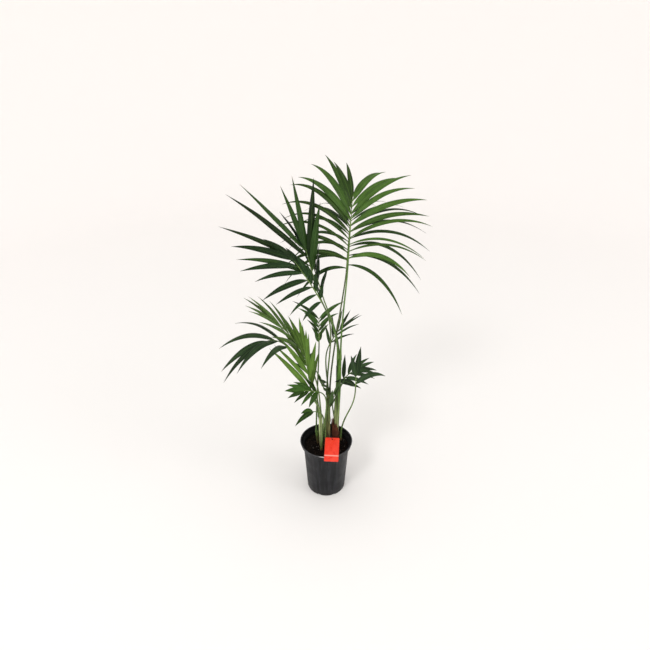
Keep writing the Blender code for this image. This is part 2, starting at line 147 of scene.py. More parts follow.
# %% Finishes
class Finish:
    """A Principled material, with one method that makes all of its nodes."""

    def __init__(self, name, specular, coat=0.0):
        self.material = bpy.data.materials.new(name)
        self.material.use_nodes = True
        self.tree = self.material.node_tree
        self.shader = self.tree.nodes["Principled BSDF"]
        self.put(Specular_IOR_Level=specular, Coat_Weight=coat)

    def feed(self, socket, value):
        if isinstance(value, Value):
            self.tree.links.new(value.socket, socket)
        else:
            socket.default_value = value

    def put(self, **sockets):
        """Feeds the shader's own sockets, and hands over the material."""
        for name, value in sockets.items():
            self.feed(self.shader.inputs[name.replace("_", " ")], value)
        return self.material

    def node(self, kind, settings, sockets, output=0):
        node = self.tree.nodes.new(kind)
        for name, value in settings.items():
            setattr(node, name, value)
        for name, value in sockets.items():
            self.feed(node.inputs[name], value)
        return Value(self, node.outputs[output])

    def place(self):
        """Object coordinates, in metres."""
        return self.node("ShaderNodeTexCoord", {}, {}, "Object")

    def axes(self, vector):
        """The three numbers of a vector."""
        parts = self.node("ShaderNodeSeparateXYZ", {}, {"Vector": vector})
        return [Value(self, socket) for socket in parts.socket.node.outputs]

    def on_map(self, name="UVMap"):
        """The two numbers of the piece's own UV map: across or round it, and along it."""
        return self.axes(self.node("ShaderNodeUVMap", {"uv_map": name}, {}))[:2]

    def from_axis(self):
        """The distance from the Z axis."""
        x, y, _ = self.axes(self.place())
        return (x * x + y * y) ** 0.5

    def noise(self, scale, detail, stretch=(1, 1, 1)):
        """Cloudy values from 0 to 1. scale is in clouds per metre, before the stretch."""
        spot = self.node("ShaderNodeMapping", {}, {"Vector": self.place(), "Scale": stretch})
        return self.node("ShaderNodeTexNoise", {}, {"Vector": spot, "Scale": scale, "Detail": detail})

    def ramp(self, value, low, high, start=0.0, end=1.0):
        """Smoothly takes a value from start to end while it passes from low to high."""
        sockets = {"Value": value, "From Min": low, "From Max": high, "To Min": start, "To Max": end}
        return self.node("ShaderNodeMapRange", {"interpolation_type": "SMOOTHSTEP"}, sockets)

    def mix(self, share, first, second, kind="MIX"):
        """Mixes two colours, each a socket or the three numbers that a screen shows."""
        first, second = [colour if isinstance(colour, Value) else shade(*colour)
                         for colour in (first, second)]
        settings = {"data_type": "RGBA", "blend_type": kind}
        return self.node("ShaderNodeMix", settings, {0: share, 6: first, 7: second}, 2)

    def layered(self, colour, *layers):
        """Lays each (share, colour) over the one before."""
        for share, tone in layers:
            colour = self.mix(share, colour, tone)
        return colour

    def lit(self, colour, light):
        """The colour made darker or lighter by a number."""
        grey = self.node("ShaderNodeCombineColor", {}, dict.fromkeys(("Red", "Green", "Blue"), light))
        return self.mix(1.0, colour, grey, "MULTIPLY")

    def bump(self, height, depth):
        """Normals for a height from 0 to 1, times a depth in metres."""
        return self.node("ShaderNodeBump", {}, {"Height": height, "Distance": depth, "Strength": 1.0})


paper = Finish("studio_paper", 0.1)
# The paper is painted darker near the middle: painted shade that evens out the stronger lamp light
# there.
edge = paper.ramp(paper.from_axis(), 0.5, 5.0)
paper.put(Base_Color=paper.mix(edge, (243, 241, 239), (252, 249, 247)), Roughness=0.9)
print("the studio paper has", len(paper.tree.nodes), "nodes")

# %% Studio floor and lamps
FLOOR_RADIUS, SWEEP_RADIUS, SWEEP_STEPS, WALL_TOP = 4.0, 2.0, 12, 4.5
LAMP_AIM = Vector((0, 0, 0.7))
LAMPS = (("key_lamp", (-2.2, -3.4, 4.8), 1.5, 90), ("side_lamp", (3.2, -1.4, 3.6), 1.8, 24))
SKY_COLOUR, SKY_STRENGTH = (1.0, 0.995, 0.985, 1.0), 0.90

turns = [radians(90 * step / SWEEP_STEPS) for step in range(SWEEP_STEPS + 1)]
sweep = [(FLOOR_RADIUS + SWEEP_RADIUS * sin(turn), SWEEP_RADIUS * (1 - cos(turn)))
         for turn in turns]
studio = spun([(0.0, 0.0), (1.0, 0.0)] + sweep + [(FLOOR_RADIUS + SWEEP_RADIUS, WALL_TOP)], 64)
for face in studio.faces:
    face.normal_flip()
add_piece("studio_floor", studio, paper.material)

for name, place, size, watts in LAMPS:
    lamp = bpy.data.objects.new(name, bpy.data.lights.new(name, "AREA"))
    lamp.data.shape = "DISK"
    lamp.data.size = size
    lamp.data.energy = watts
    lamp.location = place
    lamp.rotation_euler = (LAMP_AIM - Vector(place)).to_track_quat("-Z", "Y").to_euler()
    bpy.context.scene.collection.objects.link(lamp)

world = bpy.data.worlds.new("studio")
world.use_nodes = True
sky = world.node_tree.nodes["Background"].inputs
sky["Color"].default_value = SKY_COLOUR
sky["Strength"].default_value = SKY_STRENGTH
bpy.context.scene.world = world
bpy.context.scene.view_settings.view_transform = "Standard"
print(len(LAMPS), "lamps and a pale sky of strength", SKY_STRENGTH)

# %% [markdown]
# ## The rule of the fronds
#
# A kentia frond is a feather: a stalk, a midrib that carries on from it, and leaflets in pairs that
# point forwards. Each row of the table below is one frond. Its foot, neck and tip fix the curve of
# the midrib, and values in threes say how long the leaflets are, how far they stand out and how much
# they droop at the neck, in the middle and at the tip. The solids grew from the same rule and the
# same seeds, so here it is written once more, to grow finer blades in the same places.

# %% The fronds and what they are grown from
SOIL_TOP = 0.203
# A feather frond on its stalk: sizes in metres, angles in degrees.
Frond = namedtuple("Frond", """name foot neck tip arch roll pairs reach spread droop width
                   skew left right rise settle""", defaults=(0.0, 1.0, 1.0, 0.45, 0.30))

FRONDS = (
    Frond("top", (0.053, 0.017, 0.6), (0.074, 0.02, 0.984), (0.09, 0.14, 1.176), 0.015, 0, 11,
          (0.24, 0.29, 0.15), (64, 44, 15), (1.5, 0.85, 0.8), 0.0185, skew=6, left=1.05),
    Frond("top_back", (0.0135, 0.0095, 0.45), (0.071, 0.075, 0.933), (0.094, 0.27, 1.08), 0.05, 0, 9,
          (0.23, 0.33, 0.2), (84, 54, 15), (2.4, 1.3, 0.8), 0.014,
          skew=6, right=1.08, rise=0.3, settle=0.15),
    Frond("upper_left", (0.0433, 0.0165, 0.6), (-0.046, 0.0, 0.938), (-0.07, 0.04, 1.02),
          0.008, 0, 4, (0.26, 0.34, 0.295), (41, 28.5, 12), (0.5, 0.3, 0.2), 0.022,
          skew=-17, right=0.84),
    Frond("left", (0.0025, 0.0065, 0.45), (-0.014, -0.02, 0.848), (-0.11, -0.03, 1.012),
          0.01, -85, 7, (0.095, 0.165, 0.215), (58, 36, 10), (1.1, 0.65, 0.4), 0.021,
          skew=-20, right=0.55),
    Frond("mid_left", (-0.0225, 0.0035, 0.35), (-0.089, -0.01, 0.65), (-0.178, -0.055, 0.797),
          0.02, -40, 4, (0.2, 0.19, 0.14), (17, 11, 4), (0.5, 0.4, 0.3), 0.017),
    Frond("mid_front", (-0.023, -0.008, 0.35), (-0.057, -0.045, 0.489), (-0.08, -0.03, 0.672),
          0.005, -57, 6, (0.23, 0.19, 0.15), (22, 16, 6), (0.3, 0.3, 0.2), 0.019, skew=-6, right=0.8),
    Frond("low_left", (-0.029, -0.001, 0.35), (-0.131, -0.03, 0.671), (-0.203, -0.1, 0.743),
          0.03, -25, 3, (0.2, 0.245, 0.215), (25, 18, 7), (1.0, 1.15, 1.0), 0.022, skew=3, right=0.9),
    Frond("centre", (-0.04, 0.0095, 0.262), (-0.027, 0.03, 0.661), (-0.027, 0.065, 0.745),
          0.005, 0, 6, (0.035, 0.075, 0.12), (22, 35, 45), (0.1, 0.5, 0.6), 0.012,
          rise=0.2, settle=0.08),
    Frond("behind", (0.0065, 0.0135, 0.45), (0.01, 0.09, 0.614), (0.054, 0.13, 0.67), 0.01, 0, 4,
          (0.09, 0.12, 0.1), (40, 28, 10), (0.5, 0.5, 0.3), 0.012),
    Frond("right_low", (0.058, 0.03, 0.203), (0.11, -0.02, 0.49), (0.112, 0.0, 0.535), 0.003, 0, 2,
          (0.12, 0.135, 0.115), (64, 34, 5), (1.4, 0.9, 0.4), 0.022, left=0.7),
    Frond("right_mid", (0.042, 0.046, 0.203), (0.046, 0.055, 0.457), (0.125, 0.09, 0.51), 0.02, 45, 5,
          (0.075, 0.1, 0.08), (48, 34, 10), (0.7, 0.7, 0.5), 0.016),
    Frond("low_front", (-0.019, -0.03, 0.203), (-0.027, -0.05, 0.497), (-0.082, -0.08, 0.523),
          0.004, -45, 4, (0.075, 0.085, 0.075), (46, 30, 10), (0.6, 0.5, 0.4), 0.022, settle=0.25),
    Frond("small_front", (0.0095, 0.0025, 0.45), (-0.009, -0.02, 0.49), (-0.023, -0.045, 0.556),
          0.005, -30, 4, (0.05, 0.065, 0.05), (60, 42, 12), (0.5, 0.5, 0.4), 0.015),
    Frond("lowest", (-0.019, -0.0165, 0.203), (-0.03, -0.034, 0.392), (-0.051, -0.049, 0.407),
          0.002, -40, 1, (0.11, 0.11, 0.11), (14, 14, 14), (0.9, 0.9, 0.9), 0.02, right=0.45),
    Frond("young", (-0.002, -0.026, 0.203), (0.006, -0.02, 0.388), (0.032, -0.025, 0.465),
          0.002, -30, 2, (0.095, 0.095, 0.095), (22, 14, 5), (0.2, 0.2, 0.2), 0.018),
    Frond("back", (-0.024, 0.046, 0.203), (-0.066, 0.062, 0.496), (-0.1, 0.16, 0.578), 0.012, 20, 5,
          (0.075, 0.095, 0.08), (42, 30, 10), (0.7, 0.7, 0.5), 0.016),
    Frond("inner_left", (0.0475, 0.0255, 0.6), (-0.014, 0.045, 0.848), (-0.068, 0.065, 1.025),
          0.004, 0, 6, (0.1, 0.16, 0.16), (34, 24, 8), (0.4, 0.3, 0.2), 0.02, right=0.75),
)

print(len(FRONDS), "fronds with", sum(2 * frond.pairs for frond in FRONDS), "leaflets")

# %% Curves of the midribs and stalks
STALK_FOOT, STALK_NECK, MIDRIB_TAPER = 0.0033, 0.0023, 0.55


def bezier(points, share):
    """A point on the curve of these control points, by repeated interpolation."""
    while len(points) > 1:
        points = [start.lerp(end, share) for start, end in zip(points, points[1:])]
    return points[0]


def along(values, share):
    """The smooth value at a share of the way, from those at the start, the middle and the end."""
    start, middle, end = values
    return (start * (1 - share) * (1 - 2 * share) + 4 * middle * share * (1 - share)
            + end * share * (2 * share - 1))


def midrib_points(frond):
    neck, tip = Vector(frond.neck), Vector(frond.tip)
    return [neck, (neck + tip) / 2 + UP * frond.arch, tip]


def midrib_radius(share):
    return STALK_NECK * (1 - MIDRIB_TAPER * share)


def stalk_points(frond):
    neck, bow, _ = midrib_points(frond)
    into = (bow - neck).normalized()
    foot = Vector(frond.foot)
    length = (neck - foot).length
    return [foot, foot + UP * length * frond.rise, neck - into * length * frond.settle, neck]


def outward(frond):
    """The level direction that the frond leans in."""
    return Vector((frond.tip[0] - frond.neck[0], frond.tip[1] - frond.neck[1], 0)).normalized()


def frond_axes(frond, place):
    """The midrib's point and heading at a place along it, and the frond's side and upper axes."""
    points = midrib_points(frond)
    ahead = (bezier(points, place + 0.01) - bezier(points, place - 0.01)).normalized()
    upper = outward(frond).cross(UP).cross(ahead).normalized()
    roll = Matrix.Rotation(radians(frond.roll), 3, ahead)
    return bezier(points, place), ahead, roll @ ahead.cross(upper), roll @ upper


longest = max(FRONDS, key=lambda frond: frond.tip[2])
print("the highest midrib ends at", longest.tip[2], "m, on the frond called", longest.name)

# %% Leaflets in pairs
FIRST_PAIR, STAGGER = 0.35, 0.18  # In steps from pair to pair.
LIFT, ANGLE_SCATTER = 12.0, 4
LENGTHS, WIDTHS, DROOPS = (0.93, 1.05), (0.9, 1.08), (0.85, 1.15)
ROOT_WIDTH = 1.8  # In radii of the midrib.
PATH_STEPS = 24
# One blade: its root, heading, the line its face lies along, its side and its sizes.
Leaflet = namedtuple("Leaflet", "root heading flat side length width droop root_width")


def leaflets(frond):
    """Every leaflet of a frond, in pairs from its neck to its tip, with a little seeded scatter."""
    chance = random.Random(frond.name)
    grown = []
    for pair in range(frond.pairs):
        share = (pair + FIRST_PAIR) / (frond.pairs - (1 - FIRST_PAIR))
        for side, size in ((-1, frond.left), (1, frond.right)):
            place = min(share + side * STAGGER / frond.pairs, 1.0)
            root, ahead, sideways, upper = frond_axes(frond, place)
            scatter = chance.uniform(-ANGLE_SCATTER, ANGLE_SCATTER)
            spread = radians(along(frond.spread, place) + side * frond.skew + scatter)
            lift = radians(LIFT + chance.uniform(-ANGLE_SCATTER, ANGLE_SCATTER))
            out = side * sideways * cos(lift) + upper * sin(lift)
            heading = ahead * cos(spread) + out * sin(spread)
            grown.append(Leaflet(
                root=root,
                heading=heading,
                flat=(ahead - heading * ahead.dot(heading)).normalized(),
                side=side,
                length=along(frond.reach, place) * size * chance.uniform(*LENGTHS),
                width=frond.width * chance.uniform(*WIDTHS),
                droop=along(frond.droop, place) * chance.uniform(*DROOPS),
                root_width=ROOT_WIDTH * midrib_radius(place),
            ))
    return grown


def blade_path(leaflet):
    """Points and headings along a leaflet, which its own weight bends down more and more."""
    point = leaflet.root.copy()
    path = [(point.copy(), leaflet.heading)]
    for step in range(PATH_STEPS):
        share = (step + 0.5) / PATH_STEPS
        heading = (leaflet.heading - UP * leaflet.droop * share).normalized()
        point += heading * leaflet.length / PATH_STEPS
        path.append((point.copy(), heading))
    return path


print("the first leaflet of the top frond is", round(leaflets(FRONDS[0])[0].length, 3), "m long")

# %% [markdown]
# Where a leaflet would have run into a neighbour, its solid was swung aside or cut shorter. We try
# the same turns and lengths in the same order, and keep the one whose tip lies on the solid. Then
# some leaflets get a width of their own, because no two on a real frond are quite alike.

# %% Find each leaflet's place on its solid
TURNS, CUTS = (0, 7, -7, 14, -14, 22, -22), (1.0, 0.8, 0.62)


def turned(leaflet, aside, cut):
    swing = Matrix.Rotation(radians(aside), 3, leaflet.flat)
    return leaflet._replace(heading=swing @ leaflet.heading, length=leaflet.length * cut)


def surface_of(node):
    shape = bmesh.new()
    shape.from_mesh(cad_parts[node].data)
    tree = BVHTree.FromBMesh(shape)
    shape.free()
    return tree


def settled(frond):
    """The leaflets as they grew on the frond's solid, each with its tip's distance from it."""
    surface = surface_of("frond_" + frond.name)
    found = []
    for leaflet in leaflets(frond):
        tries = [turned(leaflet, aside, cut) for cut in CUTS for aside in TURNS]
        misses = [surface.find_nearest(blade_path(attempt)[-1][0])[3] for attempt in tries]
        found.append((min(misses), tries[misses.index(min(misses))]))
    return found


# Widths beside the rest of the frond: the left and right leaflet of each pair, from the neck.
OWN_WIDTHS = {
    "top": (1, 1, 0.8, 0.5, 0.6, 0.5, 0.6, 0.7, 0.8, 1, 1.15, 1.2, 1.25, 1.25, 1.25, 1.25, 1.25, 1.2,
            1.2, 1, 1, 1),
    "left": (0.75, 0.75, 0.75, 0.75, 0.85, 1, 1, 1, 0.8, 1, 1, 0.8, 1, 1),
    "upper_left": (1, 1.15, 0.85, 1.2, 1, 1, 1, 1),
    "mid_left": (1.1, 1.1, 1, 0.8, 0.75, 0.8, 1, 0.75),
    "mid_front": (1, 0.85, 0.85, 1, 1, 0.75, 0.75, 1, 0.85, 0.75, 1, 1),
    "low_front": (1, 0.8, 0.75, 0.75, 0.7, 0.8, 0.75, 1),
    "small_front": (1.35,) * 8,
    "young": (1.3,) * 4,
}
settled_leaflets, worst_miss = {}, 0.0
for frond in FRONDS:
    found = settled(frond)
    own_widths = OWN_WIDTHS.get(frond.name, (1,) * len(found))
    settled_leaflets[frond.name] = [leaflet._replace(width=leaflet.width * own)
                                    for (_, leaflet), own in zip(found, own_widths)]
    worst_miss = max(worst_miss, *[miss for miss, _ in found])
print("the furthest tip from its solid misses it by", round(worst_miss * 1000, 3), "mm")

# %% [markdown]
# ## Leaf blades
#
# A kentia leaflet is a narrow blade folded like a roof along a pale ridge, with fine veins beside it
# and a long thin point. We start each one from a flat grid, because its rows and columns become the
# length and the width, and its UV map then follows the veins wherever the blade bends. The rows move
# onto the leaflet's path and narrow to the outline. All leaflets of a frond are one mesh, which gets
# its thickness at the end, and the new lower skin is marked so that it can be paler.

# %% Shape of one blade
BLADE_ACROSS = 8
WIDEST, POINT_WIDTH = 0.4, 0.012
ROOT_POWER, POINT_POWER, HOLLOW = 3.2, 1.55, 0.12
FOLD, FOLD_POWER, FOLDS = 0.26, 1.35, (0.8, 1.25)
ROOT_FOLD, OPENING, OPEN_AT = 1.6, 0.75, 0.3
RIPPLE, RIPPLE_TURNS, TWIST, BEND = 0.05, 14, 0.35, 0.05


def unit_grid(shape, columns, rows):
    """The corners of a new flat grid, 1 m wide and long about the origin, with a UV map."""
    return bmesh.ops.create_grid(shape, x_segments=columns, y_segments=rows, size=0.5,
                                 calc_uvs=True)["verts"]


def blade_width(share, root_share):
    """Half of the blade's outline: fast to its full width, then slowly to a long point."""
    if share < WIDEST:
        return max(1 - ((WIDEST - share) / WIDEST)**ROOT_POWER, root_share)
    rest = (share - WIDEST) / (1 - WIDEST)
    return max((1 - rest**POINT_POWER) * (1 - HOLLOW * rest**3), POINT_WIDTH)


def grow_blade(shape, leaflet, chance, lit):
    """Adds a blade to the mesh, from a grid that is bent, folded and cut to the outline."""
    path = blade_path(leaflet)
    flats = []
    flat = leaflet.flat
    for _, heading in path:
        flat = (flat - heading * flat.dot(heading)).normalized()
        flats.append(flat)
    fold, wave, twist = chance.uniform(*FOLDS), chance.uniform(0, 6), chance.uniform(-TWIST, TWIST)
    shade_of_green, bend = chance.random(), chance.uniform(-BEND, BEND)
    corners = unit_grid(shape, BLADE_ACROSS, PATH_STEPS)
    tone_and_painted_light = shape.verts.layers.float["leaflet"]
    for corner in corners:
        across, share = -2 * leaflet.side * corner.co.x, corner.co.y + 0.5
        row = round(share * PATH_STEPS)
        (point, heading), flat = path[row], flats[row]
        upper = leaflet.side * heading.cross(flat)
        turn = Matrix.Rotation(twist * share**2, 3, heading)
        flat, upper = turn @ flat, turn @ upper
        half = leaflet.width / 2 * blade_width(share, leaflet.root_width / leaflet.width)
        opened = ROOT_FOLD - OPENING * min(share / OPEN_AT, 1.0)
        drop = FOLD * fold * opened * half * abs(across)**FOLD_POWER
        ripple = RIPPLE * half * sin(RIPPLE_TURNS * share + wave) * across**2
        aside = bend * leaflet.length * share**2 * (1 - share)
        corner.co = point + flat * (half * across + aside) - upper * (drop - ripple)
        # The leaflet value is a random tone plus the painted light of the leaflet's place.
        corner[tone_and_painted_light] = lit[0] + lit[1] * shade_of_green


print("one blade is a grid of", BLADE_ACROSS, "by", PATH_STEPS, "cells")

# %% All blades of a frond
BLADE_SKIN = 0.0006
# Painted light: how much lighter a leaflet is painted for being on the right, and for being near the
# neck.
LIT_SIDES = {"top": (0.4, 0.0), "left": (0.0, 0.7), "mid_front": (0.2, 0.0)}


def lit_by_place(frond, number, side):
    """The painted light that a leaflet's place gives it, and the share that is left to chance."""
    right, neck = LIT_SIDES.get(frond.name, (0.0, 0.0))
    near_neck = 1 - number / (2 * frond.pairs)
    return right * (side > 0) + neck * near_neck, 1 - right - neck


def make_blades(frond):
    """One mesh with every blade of a frond, and a skin below it that is marked as the underside."""
    shape = bmesh.new()
    shape.loops.layers.uv.new("blade")
    shape.verts.layers.float.new("leaflet")
    underside = shape.verts.layers.float.new("underside")
    chance = random.Random("blades of " + frond.name)
    for number, leaflet in enumerate(settled_leaflets[frond.name]):
        grow_blade(shape, leaflet, chance, lit_by_place(frond, number, leaflet.side))
    skin = bmesh.ops.solidify(shape, geom=shape.faces[:], thickness=BLADE_SKIN)["geom"]
    for part in skin:
        if isinstance(part, bmesh.types.BMFace) and part.calc_area() > 0:
            for corner in part.verts:
                corner[underside] = 1.0
    return shape


blade_faces = 4 * BLADE_ACROSS * PATH_STEPS
print("a blade has about", blade_faces, "triangles, and its skin is", BLADE_SKIN * 1000, "mm thick")

# %% [markdown]
# The finish of a blade changes from frond to frond: young fronds are a bright yellow green, and old
# ones deep and dull. That colour is one plain value per frond, painted darker on the fronds that lie
# in the shade of others. Over it go things that follow the blade: fine veins along it, a pale ridge,
# a paler foot, some leaflets lighter than others, at random and by light painted on one side or near
# the neck, and a dry brown point on the older ones. The lower skin is greyer and has no shine.

# %% Finish of the blades
def toned(green, share, added):
    """The screen colour with its numbers scaled, raised and kept under 255."""
    return [min(255, part * share + add) for part, add in zip(green, added)]


def leaf_finish(name, green):
    """Green blade with veins along it, from its own UV map, and a dull paler underside."""
    finish = Finish("leaf_" + name, 0.09)
    across, length = finish.on_map("blade")
    own, below = [finish.node("ShaderNodeAttribute", {"attribute_name": layer}, {}, "Fac")
                  for layer in ("leaflet", "underside")]
    ridge = 1 - finish.ramp(abs(across - 0.5), 0.012, 0.05)
    veins = across.zigzag(16)
    cloud = finish.noise(28, 3)
    # own is the leaflet's random tone plus, on some fronds, the painted light of its place.
    light = (finish.ramp(own, 0, 1, 0.48, 1.40) * finish.ramp(cloud, 0.3, 0.7, 0.86, 1.12)
             * finish.ramp(finish.noise(6, 2), 0.3, 0.7, 0.88, 1.1) * (0.93 + veins * 0.1))
    pale, dull = toned(green, 1, (34, 38, 18)), toned(green, 0.80, (22, 24, 19))
    upper = finish.mix(ridge * 0.45, finish.lit(green, light), pale)
    upper = finish.mix((1 - finish.ramp(length, 0.0, 0.10)) * 0.5, upper, pale)
    colour = finish.mix(below, upper, finish.lit(dull, light))
    dry = finish.ramp(length + cloud * 0.10 + own * 0.06, 1.045, 1.10)
    return finish.put(Base_Color=finish.mix(dry * 0.8, colour, (128, 92, 52)),
                      Roughness=finish.ramp(cloud, 0.3, 0.7, 0.30, 0.44) + below * 0.26,
                      Normal=finish.bump(veins * 0.35 + ridge * 0.6, 0.00035))


# Painted shade: the fronds that lie in the shade of others, such as inner_left and left, have darker
# greens.
GREENS = {
    "top": (59, 86, 34), "top_back": (42, 66, 28), "upper_left": (38, 60, 25), "left": (33, 54, 28),
    "inner_left": (18, 38, 15), "mid_left": (72, 97, 46), "mid_front": (84, 114, 46),
    "low_left": (40, 58, 34), "centre": (56, 84, 38), "behind": (46, 68, 36),
    "right_low": (46, 66, 40), "right_mid": (42, 62, 35), "low_front": (50, 78, 30),
    "small_front": (52, 80, 34), "lowest": (54, 82, 33), "young": (46, 70, 32), "back": (44, 70, 31),
}
print(len(GREENS), "greens, one for each frond")

# %% Grow the blades
for frond in FRONDS:
    finish = leaf_finish(frond.name, GREENS[frond.name])
    blades = add_piece("blades_" + frond.name, make_blades(frond), finish)
    dress(blades, "fronds", "frond_" + frond.name)
print("blades of", len(FRONDS), "fronds in place")

# %% [markdown]
# ## Midribs and stalks
#
# A limb is a flat grid rolled up: its columns go round, its rows go along a curve, and the two edges
# that meet are merged. Rolling keeps a UV map that runs along the limb in metres, so that ribs and
# specks follow it round every bend. The same helper makes midribs, stalks, stems and the tag's loop,
# and a function of the angle and the length says how thick the limb is at each point.

# %% Roll a grid into a limb
def rolled(shape, path, upper, radius_at, around):
    """Adds a closed limb along a path. radius_at(turn, share) gives its radius all round."""
    uv = shape.loops.layers.uv.get("UVMap") or shape.loops.layers.uv.new("UVMap")
    lengths = [0.0]
    for start, end in zip(path, path[1:]):
        lengths.append(lengths[-1] + (end - start).length)
    rows = len(path) - 1
    corners = unit_grid(shape, around, rows)
    for face in {face for corner in corners for face in corner.link_faces}:
        for loop in face.loops:
            loop[uv].uv.y = lengths[round(loop[uv].uv.y * rows)]
    for corner in corners:
        share, turn = corner.co.y + 0.5, (corner.co.x + 0.5) * tau
        row = round(share * rows)
        heading = (path[min(row + 1, rows)] - path[max(row - 1, 0)]).normalized()
        across = heading.cross(upper).normalized()
        ring = across * sin(turn) + across.cross(heading) * cos(turn)
        corner.co = path[row] + ring * radius_at(turn, share)
    bmesh.ops.remove_doubles(shape, verts=corners, dist=1e-6)
    rims = [edge for edge in shape.edges if edge.is_boundary]
    bmesh.ops.holes_fill(shape, edges=rims, sides=around + 1)


def sampled(points, steps):
    return [bezier(points, step / steps) for step in range(steps + 1)]


test = bmesh.new()
rolled(test, [UP * 0.0, UP * 0.1, UP * 0.2], Vector((0, 1, 0)), lambda turn, share: 0.01, 12)
print("a test limb is closed:", all(not edge.is_boundary for edge in test.edges),
      "and points outwards:", test.calc_volume(signed=True) > 0)
test.free()

# %% Finish of the midribs and stalks
BROWN = (112, 84, 56)


def limb_finish(name, upper_green, lower_green, brown_foot=0.0):
    """Smooth living skin: fine ribs along it, pale specks and blotches, and a brown foot."""
    finish = Finish(name, 0.16)
    around, length = finish.on_map()
    ribs = around.zigzag(22)
    cloud = finish.noise(60, 4, (1, 1, 0.25))
    specks = finish.ramp(finish.noise(420, 1, (1, 1, 0.4)), 0.62, 0.70)
    blotch = finish.ramp(finish.noise(14, 3), 0.35, 0.65)
    foot = 1 - finish.ramp(length + cloud * 0.03, 0.02, 0.05)
    colour = finish.mix(blotch, upper_green, lower_green)
    colour = finish.lit(colour, finish.ramp(cloud, 0.25, 0.75, 0.75, 1.2))
    colour = finish.mix(specks * 0.4, colour, (164, 172, 128))
    return finish.put(Base_Color=finish.mix(foot * brown_foot, colour, BROWN),
                      Roughness=finish.ramp(cloud, 0.3, 0.7, 0.36, 0.52),
                      Normal=finish.bump(ribs * 0.3 + cloud * 0.5 + specks * 0.5, 0.0004))


midrib_skin = limb_finish("midrib_skin", (104, 128, 66), (82, 110, 52))
print("the midribs' skin has", len(midrib_skin.node_tree.nodes), "nodes")

# %% Midribs
MIDRIB_ROWS, MIDRIB_AROUND = 48, 14
MIDRIB_FULL, GROOVE = 1.02, 0.16
CLOSING_FROM, CLOSING_LENGTH, CLOSING = 0.96, 0.04, 0.75
JOINT_SIZE, JOINT_OUT, JOINT_FORM = 0.52, 0.9, Matrix.Diagonal((0.8, 1.7, 0.62, 1.0))


def make_midrib(frond):
    """Midrib with a flat groove on top, and a small swelling where each leaflet is joined to it."""
    def radius_at(turn, share):
        grooved = MIDRIB_FULL - GROOVE * max(cos(turn), 0.0)**6
        closing = 1 - CLOSING * max(share - CLOSING_FROM, 0.0) / CLOSING_LENGTH
        return midrib_radius(share) * grooved * closing

    shape = bmesh.new()
    path = sampled(midrib_points(frond), MIDRIB_ROWS)
    rolled(shape, path, frond_axes(frond, 0.5)[3], radius_at, MIDRIB_AROUND)
    for leaflet in settled_leaflets[frond.name]:
        size = leaflet.root_width * JOINT_SIZE
        turn = leaflet.heading.to_track_quat("Y", "Z").to_matrix().to_4x4()
        seat = Matrix.Translation(leaflet.root + leaflet.heading * size * JOINT_OUT)
        bmesh.ops.create_uvsphere(shape, u_segments=8, v_segments=6, radius=size,
                                  matrix=seat @ turn @ JOINT_FORM)
    return shape


for frond in FRONDS:
    midrib = add_piece("midrib_" + frond.name, make_midrib(frond), midrib_skin)
    dress(midrib, "fronds", "frond_" + frond.name)
print("midribs have", MIDRIB_AROUND, "by", MIDRIB_ROWS, "cells")

# %% [markdown]
# A stalk is round below and channelled above, and it spreads at its foot into the leaf base that
# wraps the stem. We let it run a little into its midrib and its stem, so that no gap shows where the
# solids were kept apart. Its two greens are mixed in blotches, the pale fronds have the palest
# stalks, and the stalks that start in the soil are brown at the bottom.

# %% Stalks
STALK_ROWS, STALK_AROUND, SUNK = 44, 16, 0.004
SOIL_SPREAD, STEM_SPREAD, SPREAD_LENGTH = 0.9, 0.55, 0.022
CHANNEL, RIBS, RIB_COUNT = 0.13, 0.018, 7
STALK_COLOURS = {
    "top": ((78, 112, 52), (96, 126, 62)), "upper_left": ((74, 108, 50), (92, 122, 60)),
    "top_back": ((62, 76, 44), (78, 92, 54)), "left": ((72, 92, 50), (88, 108, 60)),
    "mid_left": ((112, 136, 84), (128, 150, 98)), "mid_front": ((140, 160, 104), (120, 146, 84)),
}
PLAIN_STALK = ((74, 98, 50), (92, 116, 62))


def make_stalk(frond, spread):
    """Channelled limb that spreads towards its foot."""
    path = sampled(stalk_points(frond), STALK_ROWS)
    length = sum((end - start).length for start, end in zip(path, path[1:]))
    path[0] = path[0] - UP * SUNK

    def radius_at(turn, share):
        plain = STALK_FOOT + (STALK_NECK - STALK_FOOT) * share
        flare = 1 + spread * exp(-(share * length / SPREAD_LENGTH)**2)
        channel = CHANNEL * max(cos(turn), 0.0)**4 * min(share * 6, 1.0)
        ribs = RIBS * cos(RIB_COUNT * turn + 3)
        return plain * flare * (1 - channel + ribs)

    shape = bmesh.new()
    rolled(shape, path, UP.lerp(-outward(frond), 0.85), radius_at, STALK_AROUND)
    return shape


for frond in FRONDS:
    spread, brown_foot = (SOIL_SPREAD, 0.8) if frond.foot[2] == SOIL_TOP else (STEM_SPREAD, 0.0)
    name = "stalk_skin_" + frond.name
    skin = limb_finish(name, *STALK_COLOURS.get(frond.name, PLAIN_STALK), brown_foot)
    dress(add_piece(name, make_stalk(frond, spread), skin), "stalks", "stalk_" + frond.name)
print("stalks have", STALK_AROUND, "by", STALK_ROWS, "cells")
